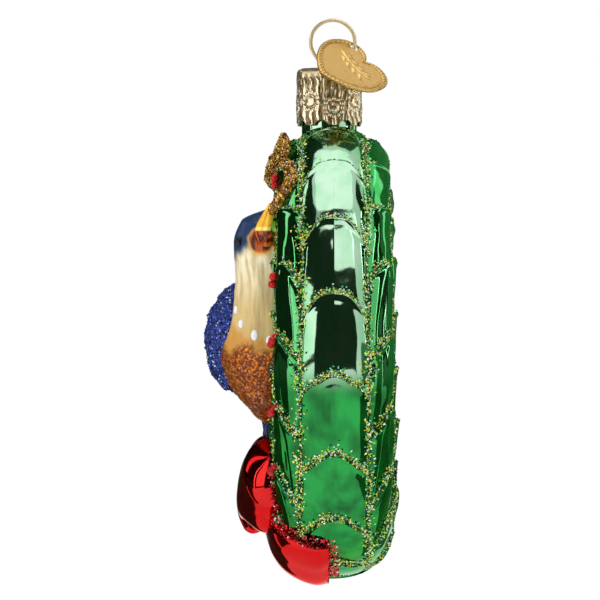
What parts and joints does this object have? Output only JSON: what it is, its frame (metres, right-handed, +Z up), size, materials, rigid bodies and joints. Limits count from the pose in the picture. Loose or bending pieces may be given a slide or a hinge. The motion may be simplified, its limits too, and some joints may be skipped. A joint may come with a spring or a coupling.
{
  "type": "bird ornament",
  "caption": "Blown-glass hanging ornament: a bird in relief on a round leaf wreath with a bow, under a metal cap with a wire hanging ring and a heart tag.",
  "frame": {"origin": "inside top of the hanging ring, where a hook or ribbon carries the ornament", "axes": "+Z up along the hanging line; the bird and the wreath's front face -Y; +X to the right of someone who looks at the front"},
  "size_m": [0.089, 0.0372, 0.1101],
  "materials": {
    "green_glass": "silvered inside and lacquered green, mirror bright, with lines of gold-green glitter",
    "red_glass": "silvered inside and lacquered red, mirror bright, with red glitter at the edges",
    "gold_glitter": "coated with coarse gold glitter",
    "berry_paint": "glossy red enamel",
    "bird_paint": "satin hand-painted: blue crown, cream chest and rust-glitter belly",
    "blue_glitter": "blue paint under blue glitter",
    "beak_gold": "glossy amber over silver",
    "eye_black": "glossy black enamel",
    "cap_brass": "bright champagne, embossed",
    "wire_gold": "bright pale-gold plate",
    "tag_brass": "satin yellow gold with a bright raised edge"
  },
  "bodies": {
    "hanger": {"hanging_ring": "wire_gold"},
    "cap": {"cap": "cap_brass"},
    "glass": {"wreath_glass": "green_glass", "bird_body": "bird_paint", "bird_wing": "blue_glitter", "bird_tail": "blue_glitter", "bird_beak": "beak_gold", "bird_eye": "eye_black", "red_bow_knot": "red_glass", "red_bow_right_loop": "red_glass", "red_bow_right_tail": "red_glass", "red_bow_left_loop": "red_glass", "red_bow_left_tail": "red_glass", "gold_bow_knot": "gold_glitter", "gold_bow_right_loop": "gold_glitter", "gold_bow_right_tail": "gold_glitter", "gold_bow_left_loop": "gold_glitter", "gold_bow_left_tail": "gold_glitter", "berries_01": "berry_paint", "berries_02": "berry_paint", "berries_03": "berry_paint", "berries_04": "berry_paint", "berries_05": "berry_paint", "berries_06": "berry_paint", "berries_07": "berry_paint", "berries_08": "berry_paint", "berries_09": "berry_paint", "berries_10": "berry_paint", "berries_11": "berry_paint"},
    "tag": {"heart_tag": "tag_brass"}
  },
  "joints": [
    {"name": "ring_swivel", "type": "hinge", "parent": "hanger", "child": "cap", "pos_m": [0, -0.0007, -0.0091], "axis": [0, 0, 1], "continuous": true},
    {"name": "cap_pull", "type": "slide", "parent": "cap", "child": "glass", "axis": [0, 0, -1], "range_m": [0, 0.013]},
    {"name": "tag_swing", "type": "hinge", "parent": "hanger", "child": "tag", "pos_m": [0, 0.00419, -0.00497], "axis": [0.6212, -0.7837, 0], "range_deg": [0, 75]}
  ]
}
